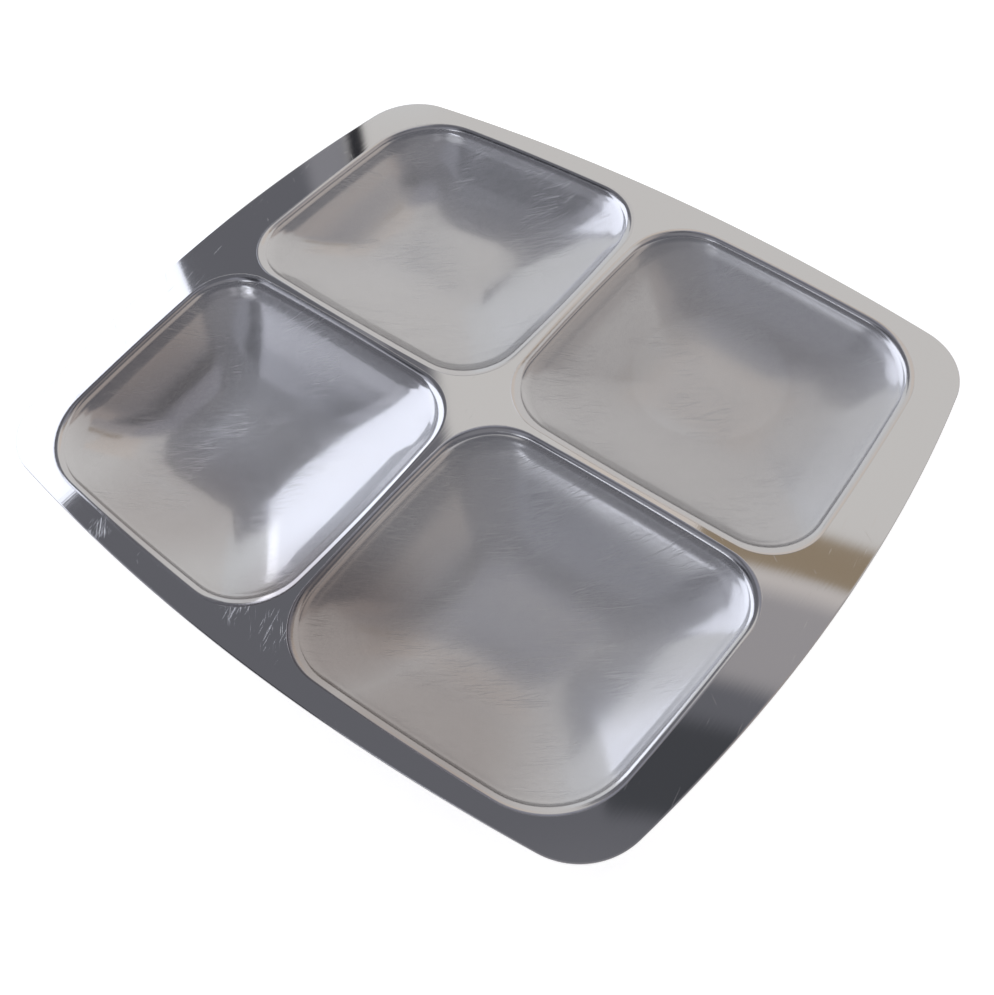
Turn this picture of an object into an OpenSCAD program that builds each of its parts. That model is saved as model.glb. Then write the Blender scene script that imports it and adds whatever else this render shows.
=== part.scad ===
// Divided serving plate: a pressed steel sheet with a flat rim and four drawn wells.
// Frame: +Z up, +X along the plate's length, origin on the surface that the plate
// stands on, under the middle of the plate.

/* [Plate] */
// Overall length, along X
plate_l = 290; // [250:1:330]
// Overall width, along Y
plate_w = 252; // [220:1:290]
// Radius of the bowed short sides, at +X and -X
end_bow_r = 552; // [350:1:2000]
// Radius of the bowed long sides, at +Y and -Y
side_bow_r = 809; // [350:1:2000]
// Radius of the plate's four corners
plate_corner_r = 25.5; // [12:0.5:40]
// Thickness of the sheet
sheet_t = 0.8; // [0.5:0.1:1.5]

/* [Wells] */
// Width of the rim at the middle of a short side
end_rim_w = 17.6; // [12:0.1:28]
// Width of the rim at the middle of a long side
side_rim_w = 8.5; // [6:0.1:20]
// Width of the web between two neighbouring wells, at its narrowest
web_w = 1.2; // [0.8:0.1:6]
// Depth of each well below the rim
well_depth = 13.4; // [9:0.1:18]
// Radius of a well's bowed side next to a short side of the plate
well_end_bow_r = 1056; // [500:1:3000]
// Radius of a well's bowed side next to a long side of the plate
well_side_bow_r = 1098; // [500:1:3000]
// Radius of a well's bowed side on the web that runs across the plate
cross_web_bow_r = 802; // [500:1:3000]
// Radius of a well's bowed side on the web that runs along the plate
long_web_bow_r = 1561; // [500:1:3000]
// Radius of a well's corner nearest the plate's corner
outer_corner_r = 31; // [15:0.5:40]
// Radius of a well's corner where the crosswise web meets the rim
side_corner_r = 24.5; // [12:0.5:35]
// Radius of a well's corner at the middle of the plate
inner_corner_r = 24; // [12:0.5:35]
// Radius of a well's corner where the lengthwise web meets the rim
end_corner_r = 21; // [12:0.5:35]

/* [Well section] */
// Radius on top of the rolled lip, where the rim turns down into a well
lip_r = 5; // [2:0.5:7]
// Slope of the steep band under the lip, from level
band_angle = 40; // [32:1:50]
// Width of the steep band
band_w = 3.3; // [1:0.1:6]
// Width of the dished wall from the lip line to the flat floor, limited by the room in the well
wall_w = 46; // [30:0.5:53]

/* [Hidden] */

// The least part of a well's width that stays flat
floor_share = 0.08;
// How much of a corner's radius is left at the floor, and how much of a floor's side its corners may take
floor_corner_share = 0.4;
corner_fit_share = 0.9;
// Points along each bowed side, each corner, the lip's roll and the sweep
side_steps = 6;
corner_steps = 7;
lip_steps = 3;
sweep_steps = 6;

// The plate's reach from its middle, and the well of the rear right quarter in it
plate_end = plate_l / 2;
plate_side = plate_w / 2;
well_end = plate_end - end_rim_w;
well_side = plate_side - side_rim_w;
web_edge = web_w / 2;
well_mid = [(well_end + web_edge) / 2, (well_side + web_edge) / 2];
well_half = min(well_end - web_edge, well_side - web_edge) / 2;

// The section of a wall, measured inwards from the lip: a rolled lip, a steep band, and a sweep
// of one radius that ends level with the floor
wall_run = min(wall_w, well_half * (1 - floor_share));
lip_run = lip_r * sin(band_angle);
lip_drop = lip_r * (1 - cos(band_angle));
sweep_run = wall_run - lip_run - band_w;
sweep_drop = well_depth - lip_drop - band_w * tan(band_angle);
sweep_angle = 2 * atan(sweep_drop / sweep_run);
sweep_r = sweep_run / sin(sweep_angle);
rim_top = well_depth + sheet_t;

// Each entry of the section is the distance in from the lip, the height and the slope there
lip_section = [
    for (i = [0:lip_steps])
        let (slope = band_angle * i / lip_steps)
        [lip_r * sin(slope), rim_top - lip_r * (1 - cos(slope)), slope]
];
sweep_section = [
    for (i = [0:sweep_steps])
        let (slope = sweep_angle * (1 - i / sweep_steps))
        [wall_run - sweep_r * sin(slope), sheet_t + sweep_r * (1 - cos(slope)), slope]
];
top_section = concat(lip_section, sweep_section);
rows = len(top_section);

// Where two circles cross, on the left of the way from the first centre to the second
function crossing(c1, r1, c2, r2) =
    let (way = c2 - c1)
    let (gap = norm(way))
    let (along = (r1 * r1 - r2 * r2 + gap * gap) / (2 * gap))
    let (aside = sqrt(r1 * r1 - along * along))
    let (u = way / gap)
    c1 + along * u + aside * [-u.y, u.x];

// The direction from one point to another, in degrees
function heading(from, to) = atan2(to.y - from.y, to.x - from.x);

// Points of a counter-clockwise arc, without its last one
function arc(centre, r, from, to, steps) =
    let (turn = (to - from + 720) % 360)
    [for (i = [0:steps - 1]) centre + r * [cos(from + turn * i / steps), sin(from + turn * i / steps)]];

// A closed outline of bowed sides with a rounded corner after each one.
// Sides are [centre, radius] in counter-clockwise order.
function bowed_outline(sides, corner_rs) =
    let (n = len(sides))
    let (hubs = [
        for (i = [0:n - 1])
            let (next = sides[(i + 1) % n])
            crossing(sides[i][0], sides[i][1] - corner_rs[i], next[0], next[1] - corner_rs[i])
    ])
    [
        for (i = [0:n - 1])
            let (next = sides[(i + 1) % n])
            let (start = heading(sides[i][0], hubs[(i + n - 1) % n]))
            let (end = heading(sides[i][0], hubs[i]))
            let (after = heading(next[0], hubs[i]))
            each concat(
                arc(sides[i][0], sides[i][1], start, end, side_steps),
                arc(hubs[i], corner_rs[i], end, after, corner_steps)
            )
    ];

// The plate's outer edge
plate_edge = bowed_outline(
    [
        [[plate_end - end_bow_r, 0], end_bow_r],
        [[0, plate_side - side_bow_r], side_bow_r],
        [[end_bow_r - plate_end, 0], end_bow_r],
        [[0, side_bow_r - plate_side], side_bow_r]
    ],
    [for (i = [0:3]) plate_corner_r]
);

// The four sides of the rear right well, drawn in by a distance
function well_sides(inset) = [
    [[well_end - well_end_bow_r, 0], well_end_bow_r - inset],
    [[0, well_side - well_side_bow_r], well_side_bow_r - inset],
    [[web_edge + cross_web_bow_r, well_mid.y], cross_web_bow_r - inset],
    [[well_mid.x, web_edge + long_web_bow_r], long_web_bow_r - inset]
];

// A well's corners grow tighter on the way from the lip to the floor, where they have to fit its sides
well_corner_rs = [outer_corner_r, side_corner_r, inner_corner_r, end_corner_r];
floor_sides = well_sides(wall_run);
floor_points = [
    for (i = [0:3])
        let (next = floor_sides[(i + 1) % 4])
        crossing(floor_sides[i][0], floor_sides[i][1], next[0], next[1])
];
floor_fit = min([
    for (i = [0:3])
        let (before = (i + 3) % 4)
        norm(floor_points[i] - floor_points[before]) / (well_corner_rs[i] + well_corner_rs[before])
]);
kept_share = min(floor_corner_share, corner_fit_share * floor_fit);

function well_outline(inset) =
    let (left_share = 1 - (1 - kept_share) * inset / wall_run)
    bowed_outline(well_sides(inset), [for (r = well_corner_rs) r * left_share]);

function level_ring(inset, z) = [for (p = well_outline(inset)) [p.x, p.y, z]];

// The underside follows the top at the sheet's thickness, square to the slope
top_rings = [for (s = top_section) level_ring(s[0], s[1])];
under_rings = [
    for (i = [rows - 1:-1:0])
        let (s = top_section[i])
        level_ring(s[0] - sheet_t * sin(s[2]), s[1] - sheet_t * cos(s[2]))
];

// Moves a shape of the rear right quarter to the quarter on the given sides
module quarter(x_side, y_side) {
    mirror([x_side < 0 ? 1 : 0, 0, 0])
        mirror([0, y_side < 0 ? 1 : 0, 0])
            children();
}

// One drawn well: its lip, dished wall and flat floor, cut square at the lip line
module well() {
    rings = concat(top_rings, under_rings);
    count = len(rings);
    around = len(rings[0]);
    band_starts = [for (j = [0:count - 1]) if (j != rows - 1) j];
    bands = [
        for (j = band_starts, i = [0:around - 1])
            let (k = (j + 1) % count)
            let (n = (i + 1) % around)
            each [
                [j * around + i, k * around + i, k * around + n],
                [j * around + i, k * around + n, j * around + n]
            ]
    ];
    floor_top = [for (i = [around - 1:-1:0]) (rows - 1) * around + i];
    floor_under = [for (i = [0:around - 1]) rows * around + i];
    polyhedron([for (r = rings) each r], concat(bands, [floor_top, floor_under]));
}

// The flat rim and the webs between the wells
module rim_frame() {
    color("silver")
        translate([0, 0, well_depth])
            linear_extrude(sheet_t)
                difference() {
                    polygon(plate_edge);
                    for (x_side = [-1, 1], y_side = [-1, 1])
                        quarter(x_side, y_side) polygon(well_outline(0));
                }
}

module rear_right_well() {
    color("darkgray") quarter(1, 1) well();
}

module rear_left_well() {
    color("darkgray") quarter(-1, 1) well();
}

module front_left_well() {
    color("darkgray") quarter(-1, -1) well();
}

module front_right_well() {
    color("darkgray") quarter(1, -1) well();
}

rim_frame();
rear_right_well();
rear_left_well();
front_left_well();
front_right_well();
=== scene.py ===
# %% [markdown]
# # A divided serving plate in pressed stainless steel
# The plate is one steel sheet. A press draws four wells into it and leaves a flat rim and thin webs between
# them. The rim keeps the bright skin of the rolled sheet. The wells were stretched by the punch and scoured
# by years of washing up, so they are satin. This lesson loads the measured solids as a fixed frame,
# rebuilds the sheet as smooth meshes in the same place, and gives each region its own steel.

# %% Load the frame
import math

import bmesh
import bpy
from mathutils import Matrix, Vector


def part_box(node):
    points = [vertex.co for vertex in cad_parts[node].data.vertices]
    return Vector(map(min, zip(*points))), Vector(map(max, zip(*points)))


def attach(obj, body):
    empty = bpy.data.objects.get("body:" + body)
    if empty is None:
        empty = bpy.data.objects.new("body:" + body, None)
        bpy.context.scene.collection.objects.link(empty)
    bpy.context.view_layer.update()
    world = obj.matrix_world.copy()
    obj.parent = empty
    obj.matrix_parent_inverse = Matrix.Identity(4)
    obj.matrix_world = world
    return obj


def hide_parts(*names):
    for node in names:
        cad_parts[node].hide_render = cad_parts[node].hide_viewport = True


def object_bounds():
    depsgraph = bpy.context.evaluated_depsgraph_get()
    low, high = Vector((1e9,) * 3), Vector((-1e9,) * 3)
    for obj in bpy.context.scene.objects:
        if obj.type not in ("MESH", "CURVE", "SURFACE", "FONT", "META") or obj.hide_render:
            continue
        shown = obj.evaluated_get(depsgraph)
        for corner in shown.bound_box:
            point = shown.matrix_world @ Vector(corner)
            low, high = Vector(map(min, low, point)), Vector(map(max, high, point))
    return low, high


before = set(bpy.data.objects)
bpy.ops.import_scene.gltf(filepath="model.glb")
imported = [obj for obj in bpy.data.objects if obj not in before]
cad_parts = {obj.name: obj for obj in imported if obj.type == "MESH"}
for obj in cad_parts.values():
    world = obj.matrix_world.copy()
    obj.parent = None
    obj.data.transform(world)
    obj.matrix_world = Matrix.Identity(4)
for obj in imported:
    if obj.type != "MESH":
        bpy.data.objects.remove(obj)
cad_low, cad_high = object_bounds()
print("CAD box in mm:", [round((high - low) * 1000, 1) for low, high in zip(cad_low, cad_high)])

# %% [markdown]
# ## Sizes
# Blender works in metres, and a maker thinks in millimetres, so one constant turns one into the other. The
# overall sizes come from the frame. The bows, radii and widths below repeat the solids' own values, because
# the smooth mesh has to lie on those solids.

# %% Sizes of the plate
MM = 0.001
half_length = cad_high.x
half_width = cad_high.y
rim_top = cad_high.z
rim_low, rim_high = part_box("rim_frame")
sheet = rim_high.z - rim_low.z
depth = rim_low.z - cad_low.z

END_BOW = 552 * MM
SIDE_BOW = 809 * MM
PLATE_CORNER = 25.5 * MM
END_RIM = 17.6 * MM
SIDE_RIM = 8.5 * MM
WEB = 1.2 * MM

WELL_END_BOW = 1056 * MM
WELL_SIDE_BOW = 1098 * MM
CROSS_WEB_BOW = 802 * MM
LONG_WEB_BOW = 1561 * MM
WELL_CORNERS = (31 * MM, 24.5 * MM, 24 * MM, 21 * MM)
FLOOR_CORNER_SHARE = 0.4

LIP_R = 5 * MM
BAND_ANGLE = math.radians(40)
BAND_RUN = 3.3 * MM
WALL_RUN = 46 * MM

lip_run = LIP_R * math.sin(BAND_ANGLE)
lip_drop = LIP_R * (1 - math.cos(BAND_ANGLE))
sweep_run = WALL_RUN - lip_run - BAND_RUN
sweep_drop = depth - lip_drop - BAND_RUN * math.tan(BAND_ANGLE)
sweep_angle = 2 * math.atan(sweep_drop / sweep_run)
sweep_r = sweep_run / math.sin(sweep_angle)
print("sheet", round(sheet / MM, 2), "mm, wells", round(depth / MM, 2), "mm deep")
print("sweep radius", round(sweep_r / MM, 1), "mm, its slope", round(math.degrees(sweep_angle), 1), "degrees")

# %% [markdown]
# ## Camera
# The outlines of the rim and the wells fix the view: a camera held about 40 cm away, 56 degrees above the
# table, slightly tilted. A camera is easiest to place by the point it looks at, a direction and a distance.

# %% Camera
IMAGE_LONG_SIDE = 995
FOCAL_PIXELS = 1176.5
CAMERA_TARGET = Vector((31.4 * MM, -29.4 * MM, rim_top))
CAMERA_DISTANCE = 400.3 * MM
CAMERA_AZIMUTH = 0.7744
CAMERA_ELEVATION = 0.9829
CAMERA_ROLL = -0.1300

level = math.cos(CAMERA_ELEVATION)
sideways = math.sin(CAMERA_AZIMUTH) * level
forwards = -math.cos(CAMERA_AZIMUTH) * level
back = Vector((sideways, forwards, math.sin(CAMERA_ELEVATION)))
right = Vector((0, 0, 1)).cross(back).normalized()
up = back.cross(right)
turned_right = right * math.cos(CAMERA_ROLL) + up * math.sin(CAMERA_ROLL)
turned_up = up * math.cos(CAMERA_ROLL) - right * math.sin(CAMERA_ROLL)

camera_data = bpy.data.cameras.new("photo_camera")
camera_data.sensor_width = 36
camera_data.lens = FOCAL_PIXELS / IMAGE_LONG_SIDE * camera_data.sensor_width
camera_data.clip_start = 10 * MM
camera = bpy.data.objects.new("photo_camera", camera_data)
bpy.context.scene.collection.objects.link(camera)
axes = Matrix((turned_right, turned_up, back)).transposed()
camera.matrix_world = Matrix.Translation(CAMERA_TARGET + back * CAMERA_DISTANCE) @ axes.to_4x4()
bpy.context.scene.camera = camera
print("lens", round(camera_data.lens, 2), "mm")

# %% [markdown]
# ## Outlines
# Every outline on the plate is four gently bowed sides with a rounded corner between each two. A bowed side
# is an arc of a large circle, and a corner is a small circle that touches both. The corner's centre is
# where the two large circles, shrunk by the corner's radius, cross. Computing it keeps every tangent
# smooth, which a mirror finish needs.

# %% Outline of bowed sides and round corners
PLATE_SIDE_STEPS = 60
PLATE_CORNER_STEPS = 24
WELL_SIDE_STEPS = 36
WELL_CORNER_STEPS = 20


def crossing(c1, r1, c2, r2):
    """Where two circles cross, on the left of the way from the first centre to the second."""
    way = c2 - c1
    along = (r1 * r1 - r2 * r2 + way.length_squared) / (2 * way.length)
    aside = math.sqrt(r1 * r1 - along * along)
    unit = way.normalized()
    return c1 + unit * along + Vector((-unit.y, unit.x)) * aside


def heading(start, end):
    """The direction from one point to another, as an angle."""
    return math.atan2(end.y - start.y, end.x - start.x)


def arc(centre, radius, start, end, steps):
    """Points of a counter-clockwise arc without its last one."""
    turn = (end - start) % math.tau
    angles = [start + turn * i / steps for i in range(steps)]
    return [centre + Vector((math.cos(a), math.sin(a))) * radius for a in angles]


def bowed_outline(sides, corners, side_steps, corner_steps):
    """A closed outline. sides are (centre, radius), counter-clockwise, with a corner after each."""
    pairs = [(sides[i], sides[(i + 1) % 4]) for i in range(4)]
    hubs = [crossing(a[0], a[1] - r, b[0], b[1] - r) for (a, b), r in zip(pairs, corners)]
    points = []
    for i, (side, following) in enumerate(pairs):
        start = heading(side[0], hubs[i - 1])
        end = heading(side[0], hubs[i])
        after = heading(following[0], hubs[i])
        points += arc(side[0], side[1], start, end, side_steps)
        points += arc(hubs[i], corners[i], end, after, corner_steps)
    return points


def plate_edge(inset):
    """The plate's cut edge, drawn in by a distance."""
    end = half_length - END_BOW
    side = half_width - SIDE_BOW
    sides = [
        (Vector((end, 0)), END_BOW - inset),
        (Vector((0, side)), SIDE_BOW - inset),
        (Vector((-end, 0)), END_BOW - inset),
        (Vector((0, -side)), SIDE_BOW - inset),
    ]
    return bowed_outline(sides, [PLATE_CORNER - inset] * 4, PLATE_SIDE_STEPS, PLATE_CORNER_STEPS)


def well_outline(inset):
    """The lip line of the rear right well, drawn in by a distance."""
    end = half_length - END_RIM
    side = half_width - SIDE_RIM
    web = WEB / 2
    sides = [
        (Vector((end - WELL_END_BOW, 0)), WELL_END_BOW - inset),
        (Vector((0, side - WELL_SIDE_BOW)), WELL_SIDE_BOW - inset),
        (Vector((web + CROSS_WEB_BOW, (side + web) / 2)), CROSS_WEB_BOW - inset),
        (Vector(((end + web) / 2, web + LONG_WEB_BOW)), LONG_WEB_BOW - inset),
    ]
    kept = 1 - (1 - FLOOR_CORNER_SHARE) * inset / WALL_RUN
    return bowed_outline(sides, [r * kept for r in WELL_CORNERS], WELL_SIDE_STEPS, WELL_CORNER_STEPS)


lip_line = well_outline(0)
print("lip line:", len(lip_line), "points, plate edge:", len(plate_edge(0)), "points")

# %% [markdown]
# ## One helper for nodes
# Geometry and materials are both node trees. One small function adds a node, sets its properties, and fills
# each input with a value or links it to another node's output.

# %% Node helper and colours
def add(tree, kind, inputs=(), **settings):
    """Adds a node. inputs maps a socket's name or number to a value or to an output socket."""
    node = tree.nodes.new(kind)
    for name, value in settings.items():
        setattr(node, name, value)
    for key, value in dict(inputs).items():
        if isinstance(value, bpy.types.NodeSocket):
            tree.links.new(value, node.inputs[key])
        else:
            node.inputs[key].default_value = value
    return node


def linear(hex_code):
    """An sRGB hex colour as linear RGBA."""
    channels = [int(hex_code[i:i + 2], 16) / 255 for i in (1, 3, 5)]
    return [c / 12.92 if c <= 0.04045 else ((c + 0.055) / 1.055) ** 2.4 for c in channels] + [1]


def new_material(name):
    """An empty node material and its tree."""
    material = bpy.data.materials.new(name)
    material.use_nodes = True
    material.node_tree.nodes.clear()
    return material, material.node_tree


# %% [markdown]
# ## Finishes
# Stainless steel is a metal: all its colour is reflection, so the base colour is the share of light it
# sends back, about 0.55, nearly neutral. What differs over the plate is mostly the roughness and the fine
# relief. The rim is bright rolled sheet: close to a mirror, with a faint grain along the rolling direction, a
# few hairlines, and scuffs where plates rub in a stack. The wells are satin: fine pits spread a share of the
# light as haze, faint drawing lines follow the lip round the wall, and a dish sponge has left patches of
# straight strokes. No two wells are worn alike. Painted shade makes the wells darker and warmer in round
# patches, standing in for darker reflections there. A stroke or hairline is a noise pattern squeezed hard
# across and stretched along, cut off so that only its crests are left.
# Real hairlines are far under a tenth of a millimetre wide. They are drawn wider here, or the picture could
# not show them.

# %% Hairlines and places shared by both steels
STEEL = "#c5c4c3"
HAIRLINE_WIDTH = 0.3 * MM
HAIRLINE_LENGTH = 14 * MM
# The height of noise over which a line fades in
LINE_FADE = 0.1


def crests(tree, vector, start, full):
    """The tops of a noise pattern, as a factor that is 1 on a line. A higher start leaves fewer lines."""
    noise = add(tree, "ShaderNodeTexNoise", {"Vector": vector, "Scale": 1.0, "Detail": 2.0})
    cut = {"Value": noise.outputs["Fac"], "From Min": start, "From Max": full}
    return add(tree, "ShaderNodeMapRange", cut, interpolation_type="SMOOTHSTEP").outputs["Result"]


def straight_lines(tree, place, turn, seed, start):
    """Straight hairlines at an angle in degrees."""
    turned = add(tree, "ShaderNodeVectorRotate", {"Vector": place, "Angle": math.radians(turn)},
                 rotation_type="Z_AXIS")
    squeeze = {0: turned.outputs[0], 1: (1 / HAIRLINE_LENGTH, 1 / HAIRLINE_WIDTH, 0), 2: (seed, seed, seed)}
    squeezed = add(tree, "ShaderNodeVectorMath", squeeze, operation="MULTIPLY_ADD")
    return crests(tree, squeezed.outputs[0], start, start + LINE_FADE)


def near(tree, place, centre, even, faded):
    """A round patch: 1 within the even radius of a point, 0 beyond the faded radius."""
    away = add(tree, "ShaderNodeVectorMath", {0: place, 1: centre}, operation="DISTANCE")
    edge = {"Value": away.outputs["Value"], "From Min": faded, "From Max": even}
    return add(tree, "ShaderNodeMapRange", edge, interpolation_type="SMOOTHSTEP").outputs["Result"]


def blend(tree, operation, first, *others):
    """The same math on a row of factors, one after another."""
    for other in others:
        first = add(tree, "ShaderNodeMath", {0: first, 1: other}, operation=operation).outputs[0]
    return first


# %% Bright rolled steel of the rim
# Rolling grain across and along the sheet, drawn coarser than it is so that it shows
ROLLING_GRAIN = (0.7 * MM, 45 * MM)
RIM_SWAY = 60 * MM
RIM_SMEAR = 22 * MM
RIM_ROUGHNESS = (0.015, 0.06)
SCRATCH_ROUGHNESS = 0.25
HAIRLINE_SHARE = 0.3
SWAY_DEPTH = 0.08 * MM
GRAIN_DEPTH = 0.002 * MM
SCRATCH_DEPTH = 0.02 * MM
# Sets of lines: direction in degrees, seed, and the height at which a crest starts
RIM_HAIRLINES = ((80, 3.1, 0.72), (35, 7.7, 0.74))
SCUFF_STROKES = ((48, 1.3, 0.62), (74, 5.9, 0.64))
# Places that rub in a stack: x, y and reach in mm
SCUFFS = ((4, -112, 12), (-10, -113, 9), (-73, -119.5, 6), (117, 97, 4))


def bright_rolled_steel():
    """Bright rolled stainless: near mirror, faint grain along Y, a few hairlines, scuffed in places."""
    material, tree = new_material("bright_rolled_stainless_steel")
    place = add(tree, "ShaderNodeTexCoord").outputs["Object"]
    across, along = ROLLING_GRAIN
    grain_step = add(tree, "ShaderNodeVectorMath", {0: place, 1: (1 / across, 1 / along, 0)},
                     operation="MULTIPLY")
    grain = add(tree, "ShaderNodeTexNoise", {"Vector": grain_step.outputs[0], "Scale": 1.0, "Detail": 3.0})
    sway = add(tree, "ShaderNodeTexNoise", {"Vector": place, "Scale": 1 / RIM_SWAY, "Detail": 1.0})
    smear = add(tree, "ShaderNodeTexNoise", {"Vector": place, "Scale": 1 / RIM_SMEAR, "Detail": 4.0})
    lines = blend(tree, "MAXIMUM", *[straight_lines(tree, place, *line) for line in RIM_HAIRLINES])
    faint = blend(tree, "MULTIPLY", lines, HAIRLINE_SHARE)
    rubbed = [near(tree, place, (x * MM, y * MM, rim_top), 0, r * MM) for x, y, r in SCUFFS]
    strokes = blend(tree, "MAXIMUM", *[straight_lines(tree, place, *line) for line in SCUFF_STROKES])
    scuff = blend(tree, "MULTIPLY", blend(tree, "MAXIMUM", *rubbed), strokes)
    scratch = blend(tree, "MAXIMUM", faint, scuff)
    least, most = RIM_ROUGHNESS
    rough = add(tree, "ShaderNodeMapRange", {"Value": smear.outputs["Fac"], "To Min": least, "To Max": most})
    rougher = add(tree, "ShaderNodeMath", {0: scratch, 1: SCRATCH_ROUGHNESS, 2: rough.outputs["Result"]},
                  operation="MULTIPLY_ADD")
    wavy = add(tree, "ShaderNodeBump", {"Height": sway.outputs["Fac"], "Strength": 1.0,
                                        "Distance": SWAY_DEPTH})
    grained = add(tree, "ShaderNodeBump", {"Height": grain.outputs["Fac"], "Strength": 1.0,
                                           "Distance": GRAIN_DEPTH, "Normal": wavy.outputs["Normal"]})
    scored = add(tree, "ShaderNodeBump", {"Height": scratch, "Strength": 1.0, "Distance": SCRATCH_DEPTH,
                                          "Normal": grained.outputs["Normal"]}, invert=True)
    steel = add(tree, "ShaderNodeBsdfPrincipled", {"Base Color": linear(STEEL), "Metallic": 1.0,
                                                   "Roughness": rougher.outputs[0],
                                                   "Normal": scored.outputs["Normal"]})
    add(tree, "ShaderNodeOutputMaterial", {"Surface": steel.outputs[0]})
    return material


# %% Satin drawn steel of the wells
SATIN_STEEL = "#c1c0c0"
# The darker, warmer colour of the painted shade, which stands in for darker reflections
PAINTED_SHADE_COLOUR = "#9d9693"
# Painted shade in round patches, standing in for darker reflections there: x, y and reach in mm, and its
# share
PAINTED_SHADE_PATCHES = (
    (15, -98, 46, 0.85),
    (65, -112, 52, 0.7),
    (-124, -62, 48, 0.5),
    (-66, -92, 40, 0.45),
    (60, 58, 80, 0.13),
)
PAINTED_SHADE_HEIGHT = 4 * MM
PAINTED_SHADE_EVEN_SHARE = 0.3
# A round spot left out of the painted shade, so lighter there: x, y and reach in mm
UNSHADED_SPOT = (57, 65, 30)
UNSHADED_HEIGHT = 2 * MM
UNSHADED_EVEN_SHARE = 0.7
# How much rougher a well is for lying towards +X and +Y; those on the other side are as much smoother
WEAR_BY_SIDE = (0.024, 0.009, 0)
# Pits keep their real size, finer than the picture can show, because only their haze is wanted
PIT_SIZE = 0.05 * MM
PIT_CUT = (0.45, 0.56)
PIT_ROUGHNESS = 0.4
SMEAR_SIZE = 30 * MM
SHEEN = (0.1, 0.15)
LIP_ROUGHNESS = 0.08
# Drawing lines and sponge strokes, both drawn wider than they are so that they show
LINE_WIDTH = 0.4 * MM
LINE_SPREAD = (2, 2, 2)
LINE_CUT = (0.5, 0.75)
LINE_SHARE = 0.25
SPONGE_STROKES = ((-38, 2.3, 0.57), (-54, 4.7, 0.59))
WIPED_CUT = (0.42, 0.62)
MARK_ROUGHNESS = 0.22
MARK_DEPTH = 0.0034 * MM
UNEVEN_SIZE = 36 * MM
UNEVEN_DEPTH = 0.05 * MM
WELL_MIDDLE = (64 * MM, 59 * MM, 0)


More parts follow.
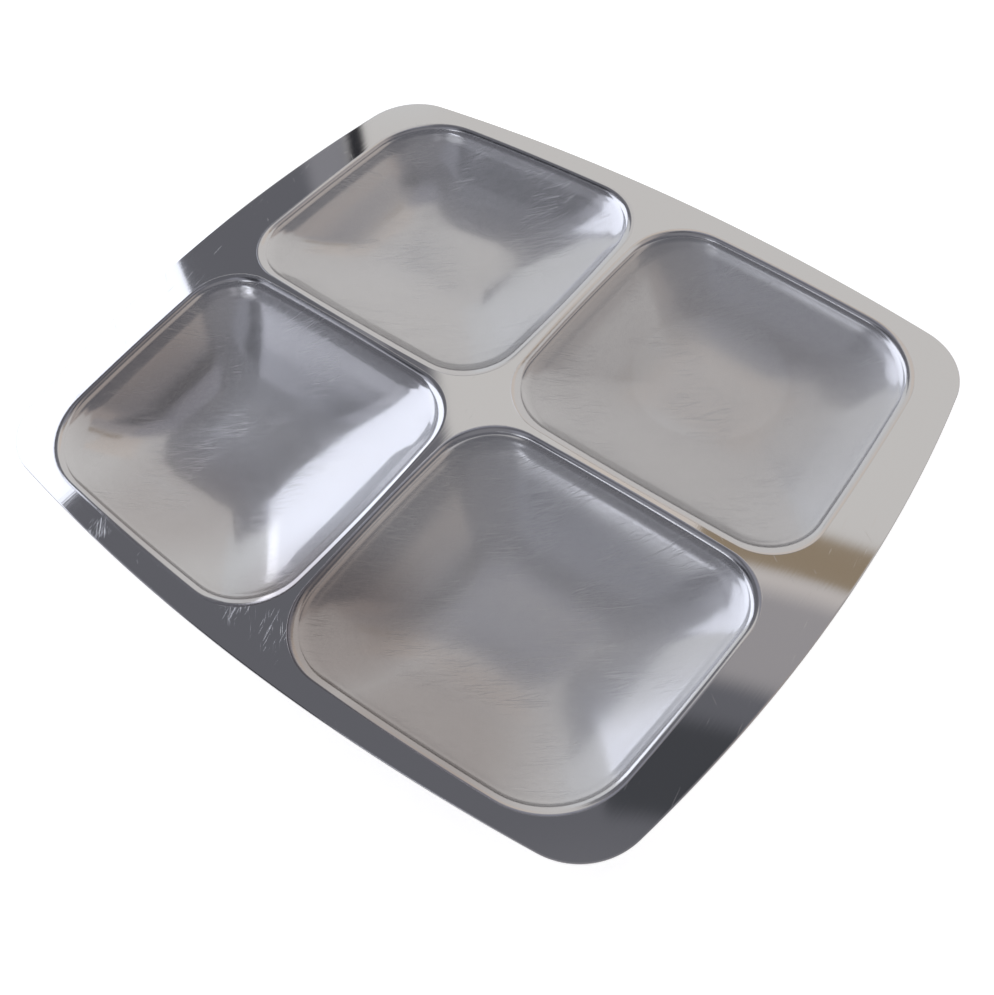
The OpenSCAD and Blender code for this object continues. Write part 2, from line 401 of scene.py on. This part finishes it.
def satin_drawn_steel():
    """Drawn stainless: bright like the rim on the lip, satin below it, lined and stroked, with painted shade
    in patches.
    """
    material, tree = new_material("satin_drawn_stainless_steel")
    place = add(tree, "ShaderNodeTexCoord").outputs["Object"]
    inset = add(tree, "ShaderNodeAttribute", attribute_name="inset").outputs["Fac"]

    # Fine pits scatter a share of the light widely, which is the haze of satin steel
    quarter = add(tree, "ShaderNodeVectorMath", {0: place}, operation="SIGN")
    worn = add(tree, "ShaderNodeVectorMath", {0: quarter.outputs[0], 1: WEAR_BY_SIDE},
               operation="DOT_PRODUCT")
    pits = add(tree, "ShaderNodeTexNoise", {"Vector": place, "Scale": 1 / PIT_SIZE, "Detail": 1.0})
    deeper = blend(tree, "ADD", pits.outputs["Fac"], worn.outputs["Value"])
    pit_cut = {"Value": deeper, "From Min": PIT_CUT[0], "From Max": PIT_CUT[1]}
    pitted = add(tree, "ShaderNodeMapRange", pit_cut, interpolation_type="SMOOTHSTEP").outputs["Result"]

    # Drawing lines follow the lip round the wall, with another pattern in every quarter
    mirrored = add(tree, "ShaderNodeVectorMath", {0: place}, operation="ABSOLUTE")
    local = add(tree, "ShaderNodeVectorMath", {0: mirrored.outputs[0], 1: WELL_MIDDLE},
                operation="SUBTRACT")
    flat = add(tree, "ShaderNodeVectorMath", {0: local.outputs[0], 1: (1, 1, 0)}, operation="MULTIPLY")
    around = add(tree, "ShaderNodeVectorMath", {0: flat.outputs[0]}, operation="NORMALIZE")
    spaced = add(tree, "ShaderNodeVectorMath", {0: around.outputs[0], 1: LINE_SPREAD, 2: quarter.outputs[0]},
                 operation="MULTIPLY_ADD")
    row = add(tree, "ShaderNodeMath", {0: inset, 1: 1 / LINE_WIDTH}, operation="MULTIPLY")
    lifted = add(tree, "ShaderNodeCombineXYZ", {"Z": row.outputs[0]})
    unrolled = add(tree, "ShaderNodeVectorMath", {0: spaced.outputs[0], 1: lifted.outputs[0]},
                   operation="ADD")
    wall_fade = {"Value": inset, "From Min": WALL_RUN, "From Max": WALL_RUN / 2}
    on_wall = add(tree, "ShaderNodeMapRange", wall_fade, interpolation_type="SMOOTHSTEP").outputs["Result"]
    lines = blend(tree, "MULTIPLY", crests(tree, unrolled.outputs[0], *LINE_CUT), on_wall)

    # Painted shade darkens and warms the colour in round patches, and sponge strokes lie where the surface
    # was wiped most
    smear = add(tree, "ShaderNodeTexNoise", {"Vector": place, "Scale": 1 / SMEAR_SIZE, "Detail": 5.0})
    patches = []
    for x, y, reach, share in PAINTED_SHADE_PATCHES:
        spot = (x * MM, y * MM, PAINTED_SHADE_HEIGHT)
        patch = near(tree, place, spot, reach * MM * PAINTED_SHADE_EVEN_SHARE, reach * MM)
        patches.append(blend(tree, "MULTIPLY", patch, share))
    x, y, reach = UNSHADED_SPOT
    clear = near(tree, place, (x * MM, y * MM, UNSHADED_HEIGHT), reach * MM * UNSHADED_EVEN_SHARE, reach * MM)
    painted_shade = blend(tree, "SUBTRACT", blend(tree, "MAXIMUM", *patches), clear)
    strokes = blend(tree, "MAXIMUM", *[straight_lines(tree, place, *line) for line in SPONGE_STROKES])
    wiped = add(tree, "ShaderNodeMapRange", {"Value": smear.outputs["Fac"], "From Min": WIPED_CUT[0],
                                             "From Max": WIPED_CUT[1]}, interpolation_type="SMOOTHSTEP")
    hairlines = blend(tree, "MULTIPLY", strokes, wiped.outputs["Result"])

    # Roughness: sheen, wear, pits and marks add up, and the lip stays bright
    sheen = add(tree, "ShaderNodeMapRange", {"Value": smear.outputs["Fac"], "To Min": SHEEN[0],
                                             "To Max": SHEEN[1]})
    satin = blend(tree, "ADD", sheen.outputs["Result"], worn.outputs["Value"])
    hazy = add(tree, "ShaderNodeMath", {0: pitted, 1: PIT_ROUGHNESS, 2: satin}, operation="MULTIPLY_ADD")
    marked = blend(tree, "MAXIMUM", blend(tree, "MULTIPLY", lines, LINE_SHARE), hairlines)
    lined = add(tree, "ShaderNodeMath", {0: marked, 1: MARK_ROUGHNESS, 2: hazy.outputs[0]},
                operation="MULTIPLY_ADD")
    drawn = add(tree, "ShaderNodeMapRange", {"Value": inset, "From Min": 0, "From Max": lip_run + BAND_RUN},
                interpolation_type="SMOOTHSTEP")
    rough = add(tree, "ShaderNodeMix", {"Factor": drawn.outputs["Result"], "A": LIP_ROUGHNESS,
                                        "B": lined.outputs[0]})
    # The colour: satin steel, darkened and warmed where the painted shade lies
    shaded_colour = add(tree, "ShaderNodeMix", {0: painted_shade, 6: linear(SATIN_STEEL), 7: linear(PAINTED_SHADE_COLOUR)}, data_type="RGBA")
    uneven = add(tree, "ShaderNodeTexNoise", {"Vector": place, "Scale": 1 / UNEVEN_SIZE, "Detail": 1.0})
    wavy = add(tree, "ShaderNodeBump", {"Height": uneven.outputs["Fac"], "Strength": 1.0,
                                        "Distance": UNEVEN_DEPTH})
    scored = add(tree, "ShaderNodeBump", {"Height": marked, "Strength": 1.0, "Distance": MARK_DEPTH,
                                          "Normal": wavy.outputs["Normal"]}, invert=True)
    steel = add(tree, "ShaderNodeBsdfPrincipled", {"Base Color": shaded_colour.outputs[2], "Metallic": 1.0,
                                                   "Roughness": rough.outputs["Result"],
                                                   "Normal": scored.outputs["Normal"]})
    add(tree, "ShaderNodeOutputMaterial", {"Surface": steel.outputs[0]})
    return material


rim_steel = bright_rolled_steel()
well_steel = satin_drawn_steel()
print("materials:", rim_steel.name, "and", well_steel.name)

# %% [markdown]
# ## Wells
# A press turns a flat blank into a well, and a Geometry Nodes tree can do the same. The blank is a flat
# mesh of nested outlines, and each point knows its distance in from the lip line. The tree lowers every
# point by what the section says at that distance: a rolled lip, a short steep band, a long sweep and a flat
# floor. It then sets the well into the four quarters of the plate. Three of the four are mirror images, and
# the two that a mirror turns inside out get their faces flipped.

# %% Flat blank of one well
LIP_ROWS = 10
BAND_ROWS = 3
SWEEP_ROWS = 22
FLOOR_ROWS = 5
FLAT_MARGIN = 0.1 * MM


def section_insets():
    """Distances in from the lip line at which the blank has a row of points."""
    lip = [LIP_R * math.sin(BAND_ANGLE * i / LIP_ROWS) for i in range(LIP_ROWS)]
    band = [lip_run + BAND_RUN * i / BAND_ROWS for i in range(BAND_ROWS)]
    slopes = [sweep_angle * (1 - i / SWEEP_ROWS) for i in range(SWEEP_ROWS + 1)]
    sweep = [WALL_RUN - sweep_r * math.sin(s) for s in slopes]
    return lip + band + sweep


def flat_blank():
    """A flat mesh of nested outlines with the distance in from the lip stored on its points."""
    rows = [(well_outline(d), d) for d in section_insets()]
    rows.insert(1, (well_outline(FLAT_MARGIN), 0.0))
    edge = rows[-1][0]
    middle = sum(edge, Vector((0, 0))) / len(edge)
    for i in range(1, FLOOR_ROWS):
        rows.append(([middle + (p - middle) * (1 - i / FLOOR_ROWS) for p in edge], WALL_RUN))
    around = len(edge)
    points = [(p.x, p.y, rim_top) for row, _ in rows for p in row] + [(middle.x, middle.y, rim_top)]
    insets = [d for _, d in rows for _ in range(around)] + [WALL_RUN]
    faces = []
    for j in range(len(rows) - 1):
        for i in range(around):
            k = (i + 1) % around
            faces.append((j * around + i, j * around + k, (j + 1) * around + k, (j + 1) * around + i))
    last = (len(rows) - 1) * around
    faces += [(last + i, last + (i + 1) % around, len(points) - 1) for i in range(around)]
    mesh = bpy.data.meshes.new("well_blank")
    mesh.from_pydata(points, [], faces)
    mesh.attributes.new("inset", "FLOAT", "POINT").data.foreach_set("value", insets)
    return mesh


blank = flat_blank()
print("blank:", len(blank.vertices), "points")


# %% Tree that presses the blank and repeats it
BEND_REACH = 5 * MM
BEND_ROUNDS = 10


def press_tree(material):
    """Geometry Nodes that draw a flat blank into a well and set it into the four quarters."""
    tree = bpy.data.node_groups.new("press_wells", "GeometryNodeTree")
    tree.interface.new_socket("Geometry", in_out="INPUT", socket_type="NodeSocketGeometry")
    names = ("Lip radius", "Lip run", "Band run", "Band slope", "Sweep radius", "Sweep run")
    for name in names:
        tree.interface.new_socket(name, in_out="INPUT", socket_type="NodeSocketFloat")
    tree.interface.new_socket("Geometry", in_out="OUTPUT", socket_type="NodeSocketGeometry")
    size = add(tree, "NodeGroupInput").outputs
    inset = add(tree, "GeometryNodeInputNamedAttribute", {"Name": "inset"},
                data_type="FLOAT").outputs["Attribute"]

    # Rolled lip: the fall of a circle of the lip's radius
    on_lip = add(tree, "ShaderNodeMath", {0: inset, 1: size["Lip run"]}, operation="MINIMUM")
    lip_square = add(tree, "ShaderNodeMath", {0: size["Lip radius"], 1: 2.0}, operation="POWER")
    lip_part = add(tree, "ShaderNodeMath", {0: on_lip.outputs[0], 1: 2.0}, operation="POWER")
    lip_rest = add(tree, "ShaderNodeMath", {0: lip_square.outputs[0], 1: lip_part.outputs[0]},
                   operation="SUBTRACT")
    lip_root = add(tree, "ShaderNodeMath", {0: lip_rest.outputs[0]}, operation="SQRT")
    lip_fall = add(tree, "ShaderNodeMath", {0: size["Lip radius"], 1: lip_root.outputs[0]},
                   operation="SUBTRACT")

    # Steep band: a straight slope
    past_lip = add(tree, "ShaderNodeMath", {0: inset, 1: size["Lip run"]}, operation="SUBTRACT")
    on_band = add(tree, "ShaderNodeClamp", {"Value": past_lip.outputs[0], "Min": 0.0,
                                            "Max": size["Band run"]})
    band_fall = add(tree, "ShaderNodeMath", {0: on_band.outputs[0], 1: size["Band slope"]},
                    operation="MULTIPLY")

    # Sweep: a large circle that ends level with the floor
    past_band = add(tree, "ShaderNodeMath", {0: past_lip.outputs[0], 1: size["Band run"]},
                    operation="SUBTRACT")
    on_sweep = add(tree, "ShaderNodeClamp", {"Value": past_band.outputs[0], "Min": 0.0,
                                             "Max": size["Sweep run"]})
    to_floor = add(tree, "ShaderNodeMath", {0: size["Sweep run"], 1: on_sweep.outputs[0]},
                   operation="SUBTRACT")
    sweep_square = add(tree, "ShaderNodeMath", {0: size["Sweep radius"], 1: 2.0}, operation="POWER")
    here_part = add(tree, "ShaderNodeMath", {0: to_floor.outputs[0], 1: 2.0}, operation="POWER")
    here_rest = add(tree, "ShaderNodeMath", {0: sweep_square.outputs[0], 1: here_part.outputs[0]},
                    operation="SUBTRACT")
    here = add(tree, "ShaderNodeMath", {0: here_rest.outputs[0]}, operation="SQRT")
    top_part = add(tree, "ShaderNodeMath", {0: size["Sweep run"], 1: 2.0}, operation="POWER")
    top_rest = add(tree, "ShaderNodeMath", {0: sweep_square.outputs[0], 1: top_part.outputs[0]},
                   operation="SUBTRACT")
    top = add(tree, "ShaderNodeMath", {0: top_rest.outputs[0]}, operation="SQRT")
    sweep_fall = add(tree, "ShaderNodeMath", {0: here.outputs[0], 1: top.outputs[0]}, operation="SUBTRACT")

    upper_fall = add(tree, "ShaderNodeMath", {0: lip_fall.outputs[0], 1: band_fall.outputs[0]},
                     operation="ADD")
    fall = add(tree, "ShaderNodeMath", {0: upper_fall.outputs[0], 1: sweep_fall.outputs[0]},
               operation="ADD")

    # The punch leaves no crease between band and sweep, so the fall is evened out over a few rows there
    bend = add(tree, "ShaderNodeMath", {0: size["Lip run"], 1: size["Band run"]}, operation="ADD")
    off_bend = add(tree, "ShaderNodeMath", {0: inset, 1: bend.outputs[0]}, operation="SUBTRACT")
    off_size = add(tree, "ShaderNodeMath", {0: off_bend.outputs[0]}, operation="ABSOLUTE")
    evening = add(tree, "ShaderNodeMapRange", {"Value": off_size.outputs[0], "From Min": BEND_REACH,
                                               "From Max": 0.0}, interpolation_type="SMOOTHSTEP")
    even = add(tree, "GeometryNodeBlurAttribute", {"Value": fall.outputs[0], "Iterations": BEND_ROUNDS,
                                                   "Weight": evening.outputs["Result"]}, data_type="FLOAT")
    down = add(tree, "ShaderNodeMath", {0: even.outputs["Value"], 1: -1.0}, operation="MULTIPLY")
    drop = add(tree, "ShaderNodeCombineXYZ", {"Z": down.outputs[0]})
    pressed = add(tree, "GeometryNodeSetPosition", {"Geometry": size["Geometry"], "Offset": drop.outputs[0]})

    # Four points at the signs of the quarters, brought to the middle, mirror the well about the plate's axes
    signs = add(tree, "GeometryNodeMeshGrid", {"Size X": 2.0, "Size Y": 2.0,
                                               "Vertices X": 2, "Vertices Y": 2})
    sign = add(tree, "GeometryNodeInputPosition").outputs[0]
    upright = add(tree, "ShaderNodeVectorMath", {0: sign, 1: (0, 0, 1)}, operation="ADD")
    tags = {"Geometry": signs.outputs["Mesh"], "Name": "quarter", "Value": upright.outputs[0]}
    kept = add(tree, "GeometryNodeStoreNamedAttribute", tags, data_type="FLOAT_VECTOR")
    to_middle = add(tree, "ShaderNodeVectorMath", {0: sign, 1: (-1, -1, -1)}, operation="MULTIPLY")
    centred = add(tree, "GeometryNodeSetPosition", {"Geometry": kept.outputs[0],
                                                    "Offset": to_middle.outputs[0]})
    quarter = add(tree, "GeometryNodeInputNamedAttribute", {"Name": "quarter"}, data_type="FLOAT_VECTOR")
    setting = {"Points": centred.outputs[0], "Instance": pressed.outputs[0],
               "Scale": quarter.outputs["Attribute"]}
    wells = add(tree, "GeometryNodeInstanceOnPoints", setting)
    real = add(tree, "GeometryNodeRealizeInstances", {"Geometry": wells.outputs[0]})
    place = add(tree, "ShaderNodeSeparateXYZ", {"Vector": add(tree, "GeometryNodeInputPosition").outputs[0]})
    sides = add(tree, "ShaderNodeMath", {0: place.outputs["X"], 1: place.outputs["Y"]},
                operation="MULTIPLY")
    mirrored = add(tree, "FunctionNodeCompare", {"A": sides.outputs[0], "B": 0.0}, data_type="FLOAT",
                   operation="LESS_THAN")
    turned = add(tree, "GeometryNodeFlipFaces", {"Mesh": real.outputs[0], "Selection": mirrored.outputs[0]})
    smooth = add(tree, "GeometryNodeSetShadeSmooth", {"Geometry": turned.outputs[0], "Shade Smooth": True})
    steel = add(tree, "GeometryNodeSetMaterial", {"Geometry": smooth.outputs[0], "Material": material})
    add(tree, "NodeGroupOutput", {"Geometry": steel.outputs[0]})
    return tree


# %% Press the wells, give them the sheet's thickness and keep a plain mesh
def baked(working, name):
    """The evaluated object as a plain mesh object at the origin; the working object is removed."""
    graph = bpy.context.evaluated_depsgraph_get()
    mesh = bpy.data.meshes.new_from_object(working.evaluated_get(graph))
    mesh.name = name
    bpy.data.objects.remove(working)
    piece = bpy.data.objects.new(name, mesh)
    bpy.context.scene.collection.objects.link(piece)
    return piece


working = bpy.data.objects.new("well_press", blank)
bpy.context.scene.collection.objects.link(working)
press = working.modifiers.new("press", "NODES")
press.node_group = press_tree(well_steel)
press_sizes = {
    "Lip radius": LIP_R, "Lip run": lip_run, "Band run": BAND_RUN, "Band slope": math.tan(BAND_ANGLE),
    "Sweep radius": sweep_r, "Sweep run": sweep_run,
}
for item in press.node_group.interface.items_tree:
    if item.in_out == "INPUT" and item.name in press_sizes:
        press[item.identifier] = press_sizes[item.name]
wall = working.modifiers.new("thickness", "SOLIDIFY")
wall.thickness = sheet
wall.offset = -1
wall.use_even_offset = True
wells = baked(working, "drawn_wells")
lowest = min(v.co.z for v in wells.data.vertices)
print("wells:", len(wells.data.polygons), "faces, lowest point", round(lowest / MM, 3), "mm")

# %% [markdown]
# ## Rim
# The rim is what the press left flat: the sheet with four openings along the lip lines. A flat face needs
# no inner points, so it is filled between its edges. The cut edge was tumbled, which takes its sharpness
# off, so it is rounded by a quarter of a millimetre. A narrow row of faces beside it keeps that rounding
# from bending the shading of the flat.

# %% Flat rim with a rounded cut edge
EDGE_ROUND = 0.25 * MM
EDGE_STEPS = 3
EDGE_MARGIN = 0.3 * MM


def ring_of(bm, outline, z):
    """A closed ring of points and edges."""
    verts = [bm.verts.new((p.x, p.y, z)) for p in outline]
    for i, v in enumerate(verts):
        bm.edges.new((v, verts[(i + 1) % len(verts)]))
    return verts


def band_of(bm, upper, lower):
    """Faces between two rings of equal length, facing away from the side that holds the sheet."""
    for i in range(len(upper)):
        k = (i + 1) % len(upper)
        bm.faces.new((upper[i], lower[i], lower[k], upper[k]))


def ring_edges(bm, ring):
    """The edges along a closed ring."""
    return [bm.edges.get((v, ring[(i + 1) % len(ring)])) for i, v in enumerate(ring)]


def edge_profile():
    """The cut edge from the top to the underside, as (inset, height)."""
    steps = [math.pi / 2 * i / EDGE_STEPS for i in range(EDGE_STEPS + 1)]
    upper = [(EDGE_ROUND * (1 - math.sin(a)), rim_top - EDGE_ROUND * (1 - math.cos(a))) for a in steps]
    lower = [(d, 2 * rim_top - sheet - z) for d, z in reversed(upper)]
    margin = EDGE_ROUND + EDGE_MARGIN
    return [(margin, rim_top)] + upper + lower + [(margin, rim_top - sheet)]


def flat_rim():
    """The flat rim and webs as a closed mesh."""
    bm = bmesh.new()
    edge_rings = [ring_of(bm, plate_edge(d), z) for d, z in edge_profile()]
    for upper, lower in zip(edge_rings, edge_rings[1:]):
        band_of(bm, upper, lower)
    for face in bm.faces:
        face.smooth = True
    top_edges = ring_edges(bm, edge_rings[0])
    low_edges = ring_edges(bm, edge_rings[-1])
    for x_side, y_side in ((1, 1), (-1, 1), (-1, -1), (1, -1)):
        lip = [Vector((p.x * x_side, p.y * y_side)) for p in lip_line]
        if x_side * y_side < 0:
            lip.reverse()
        top = ring_of(bm, lip, rim_top)
        low = ring_of(bm, lip, rim_top - sheet)
        band_of(bm, low, top)
        top_edges += ring_edges(bm, top)
        low_edges += ring_edges(bm, low)
    bmesh.ops.triangle_fill(bm, use_beauty=True, edges=top_edges, normal=(0, 0, 1))
    bmesh.ops.triangle_fill(bm, use_beauty=True, edges=low_edges, normal=(0, 0, -1))
    bmesh.ops.recalc_face_normals(bm, faces=bm.faces[:])
    mesh = bpy.data.meshes.new("bright_rim")
    bm.to_mesh(mesh)
    open_edges = [e for e in bm.edges if len(e.link_faces) != 2]
    print("rim:", len(mesh.polygons), "faces,", len(open_edges), "open edges, volume",
          round(bm.calc_volume() / MM ** 3), "cubic mm")
    bm.free()
    return mesh


rim = bpy.data.objects.new("bright_rim", flat_rim())
rim.data.materials.append(rim_steel)
bpy.context.scene.collection.objects.link(rim)

# %% [markdown]
# ## Table and light
# A mirror shows what stands around it, so lighting steel is placing things for it to reflect. A large
# softbox stands on the left and a small one hangs overhead. The rest is a dim tent with soft cards: white
# and warm ones behind the plate, grey ones above it, and a few dark flags that give the steel its contrast.
# They are painted into the world by direction, so none of them stands in the picture. The table is a plain
# pale floor.

# %% Pale floor
FLOOR_HALF = 6.0
FLOOR_WHITE = "#f2f2f2"
FLOOR_GLOW = 0.65


def pale_floor():
    """White laminate: matt, with a share of its own glow in view so that it reads as a white sweep."""
    material, tree = new_material("white_laminate_table")
    path = add(tree, "ShaderNodeLightPath").outputs
    shown = blend(tree, "MAXIMUM", path["Is Camera Ray"], path["Is Glossy Ray"], path["Is Transmission Ray"])
    glow = blend(tree, "MULTIPLY", shown, FLOOR_GLOW)
    matt = add(tree, "ShaderNodeBsdfDiffuse", {"Color": linear(FLOOR_WHITE)})
    light = add(tree, "ShaderNodeEmission", {"Color": (1, 1, 1, 1), "Strength": glow})
    both = add(tree, "ShaderNodeAddShader", {0: matt.outputs[0], 1: light.outputs[0]})
    add(tree, "ShaderNodeOutputMaterial", {"Surface": both.outputs[0]})
    return material


floor_mesh = bpy.data.meshes.new("table")
corners = [(x * FLOOR_HALF, y * FLOOR_HALF, cad_low.z) for x, y in ((-1, -1), (1, -1), (1, 1), (-1, 1))]
floor_mesh.from_pydata(corners, [], [(0, 1, 2, 3)])
floor = bpy.data.objects.new("table", floor_mesh)
floor.data.materials.append(pale_floor())
bpy.context.scene.collection.objects.link(floor)
print("floor:", 2 * FLOOR_HALF, "m square")

# %% Softboxes
def softbox(name, centre, target, width, height, colour, level):
    """A rectangular lamp that faces a point. level is its brightness as a mirror would show it."""
    lamp = bpy.data.lights.new(name, "AREA")
    lamp.shape = "RECTANGLE"
    lamp.size = width
    lamp.size_y = height
    lamp.color = linear(colour)[:3]
    lamp.energy = level * math.pi * width * height
    thing = bpy.data.objects.new(name, lamp)
    thing.location = centre
    thing.rotation_euler = (Vector(target) - Vector(centre)).to_track_quat("-Z", "Y").to_euler()
    thing.visible_camera = False
    bpy.context.scene.collection.objects.link(thing)
    return thing


large = softbox("large_softbox", (-1.5, -0.1, 1.05), (0, -0.1, 1.05), 1.6, 1.30, "#e8edfb", 2.0)
small = softbox("small_softbox", (-0.38, -0.77, 1.42), (0, 0, 0), 0.38, 0.18, "#eef2ff", 1.8)
print("lamps:", large.name, "and", small.name)

# %% Tent and cards around the plate
TENT = "#7b7c84"
# Each card: azimuth of its middle and half width, elevation and half height, softness (degrees), colour
CARDS = {
    "grey card straight above": (0, 180, 90, 10, 9, "#98989f"),
    "grey edge over the large softbox": (186, 12, 54.5, 2.5, 4, "#b4b6c2"),
    "grey card overhead": (196, 28, 71, 4, 4, "#a6a8b4"),
    "grey card overhead behind": (86, 14, 69, 4, 3, "#9c9aa0"),
    "white card on the near side": (320, 52, 6, 22, 12, "#e0e0e3"),
    "warm card at the side": (40, 24, 30, 10, 8, "#d4ccc8"),
    "warm card behind": (74, 16, 46, 20, 8, "#d0c6c2"),
    "white card behind": (101, 38.5, 26, 32.5, 2, "#f6f4f3"),
    "warm tint on the white card": (117, 9, 53, 4, 3, "#faf0e8"),
    "brown edge of the white card": (104, 12, 58, 0.8, 0.7, "#b09f89"),
    "light line over the edge": (104, 14, 60, 0.4, 0.7, "#eee8e6"),
    "grey band over the edge": (104, 20, 62.4, 1.6, 1.4, "#bcb9bd"),
    "grey card above the corner": (131, 9, 63.5, 3, 3, "#a8a9b6"),
    "dark flag behind": (116, 8, 69.2, 1.8, 1.2, "#54565c"),
    "cool card under the large softbox": (184, 32, 0, 14, 3, "#c4c9d6"),
    "cool card beside the large softbox": (145, 9, 8, 28, 3, "#fafcff"),
    "grey end of the white card": (143.5, 5, 53, 6, 1.5, "#84848c"),
    "grey line beside the white card": (142, 0.7, 44, 8, 1.0, "#a2a2aa"),
    "dark line beside the white card": (140, 0.25, 42, 6, 0.5, "#34343a"),
    "cool glow over the large softbox": (203, 11, 52, 1.7, 3.5, "#d6d8e4"),
    "white card overhead": (240, 11, 63.5, 5, 4, "#f4f7ff"),
    "light strip overhead": (266, 9, 75, 2.5, 3, "#d0d0d8"),
    "dark flag overhead": (193, 20, 62.5, 3.5, 3, "#3e3f45"),
}


def studio_world():
    """A soft tent painted by direction, one card after another over the colour of the tent."""
    world = bpy.data.worlds.new("studio_tent")
    world.use_nodes = True
    tree = world.node_tree
    tree.nodes.clear()
    direction = add(tree, "ShaderNodeTexCoord").outputs["Generated"]
    way = add(tree, "ShaderNodeSeparateXYZ", {0: direction}).outputs
    bearing = add(tree, "ShaderNodeMath", {0: way["Y"], 1: way["X"]}, operation="ARCTAN2").outputs[0]
    height = add(tree, "ShaderNodeMath", {0: way["Z"]}, operation="ARCSINE").outputs[0]
    shade = None
    for azimuth, half_wide, elevation, half_tall, soft, colour in CARDS.values():
        past = add(tree, "ShaderNodeMath", {0: bearing, 1: math.radians(azimuth)}, operation="SUBTRACT")
        turn = add(tree, "ShaderNodeMath", {0: past.outputs[0], 1: math.pi, 2: -math.pi}, operation="WRAP")
        rise = add(tree, "ShaderNodeMath", {0: height, 1: math.radians(elevation)}, operation="SUBTRACT")
        inside = []
        for away, half in ((turn, half_wide), (rise, half_tall)):
            far = add(tree, "ShaderNodeMath", {0: away.outputs[0]}, operation="ABSOLUTE")
            edge = {"Value": far.outputs[0], "From Min": math.radians(half + soft),
                    "From Max": math.radians(half)}
            inside.append(add(tree, "ShaderNodeMapRange", edge,
                              interpolation_type="SMOOTHSTEP").outputs["Result"])
        patch = add(tree, "ShaderNodeMath", {0: inside[0], 1: inside[1]}, operation="MULTIPLY")
        mix = add(tree, "ShaderNodeMix", {0: patch.outputs[0], 6: shade or linear(TENT), 7: linear(colour)},
                  data_type="RGBA")
        shade = mix.outputs[2]
    glow = add(tree, "ShaderNodeBackground", {"Color": shade, "Strength": 1.0})
    add(tree, "ShaderNodeOutputWorld", {"Surface": glow.outputs[0]})
    return world


bpy.context.scene.world = studio_world()
bpy.context.scene.view_settings.view_transform = "Standard"
print("cards:", len(CARDS))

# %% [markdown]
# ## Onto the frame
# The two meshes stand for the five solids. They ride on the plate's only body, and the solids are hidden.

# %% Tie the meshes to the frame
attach(wells, "root")
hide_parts("rear_right_well", "rear_left_well", "front_left_well", "front_right_well")
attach(rim, "root")
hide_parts("rim_frame")
